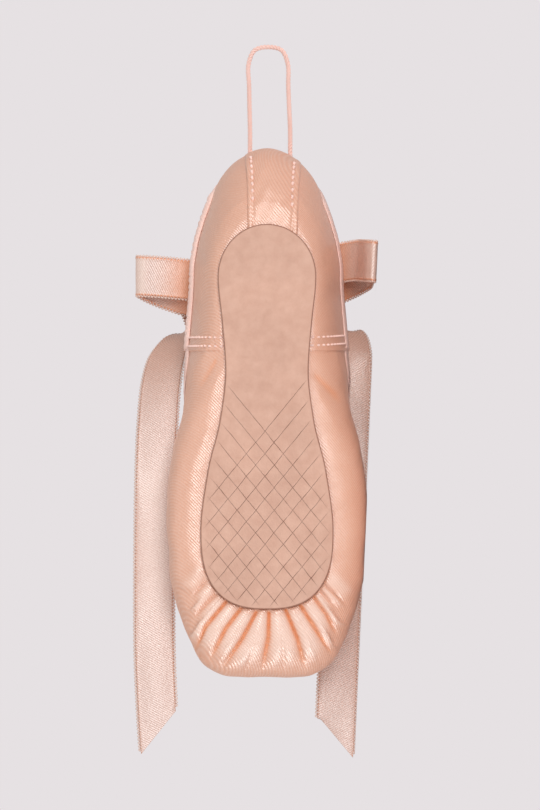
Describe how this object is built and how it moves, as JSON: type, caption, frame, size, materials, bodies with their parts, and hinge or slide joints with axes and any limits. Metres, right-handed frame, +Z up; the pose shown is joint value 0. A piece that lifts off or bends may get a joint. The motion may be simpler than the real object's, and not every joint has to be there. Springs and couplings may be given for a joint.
{
  "type": "miniature pointe shoe",
  "caption": "Miniature satin pointe shoe with a suede outsole, pleated toe, ribbon bow with two long tails and a cord hanging loop.",
  "frame": {"origin": "centre of the base of the box around the shoe's firm pieces, on the floor", "axes": "+X along the shoe towards the heel, -Y out of the outsole's face, +Z up; the shoe lies on its side"},
  "size_m": [0.151, 0.0359, 0.0512],
  "materials": {
    "satin": "glossy satin",
    "ribbon": "glossy satin ribbon",
    "suede": "matt suede",
    "edging": "matt cotton",
    "cord": "matt twisted cord",
    "board": "matt cloth over board"
  },
  "bodies": {
    "root": {"outsole": "suede", "upper": "satin", "insole": "board", "heel_strip": "satin", "collar_binding": "edging", "hanging_loop": "cord", "ribbon_band_left": "ribbon", "ribbon_band_right": "ribbon", "bow_knot": "ribbon", "bow_loop_left": "ribbon", "bow_loop_right": "ribbon", "ribbon_tail_left": "ribbon", "ribbon_tail_right": "ribbon"}
  },
  "joints": []
}
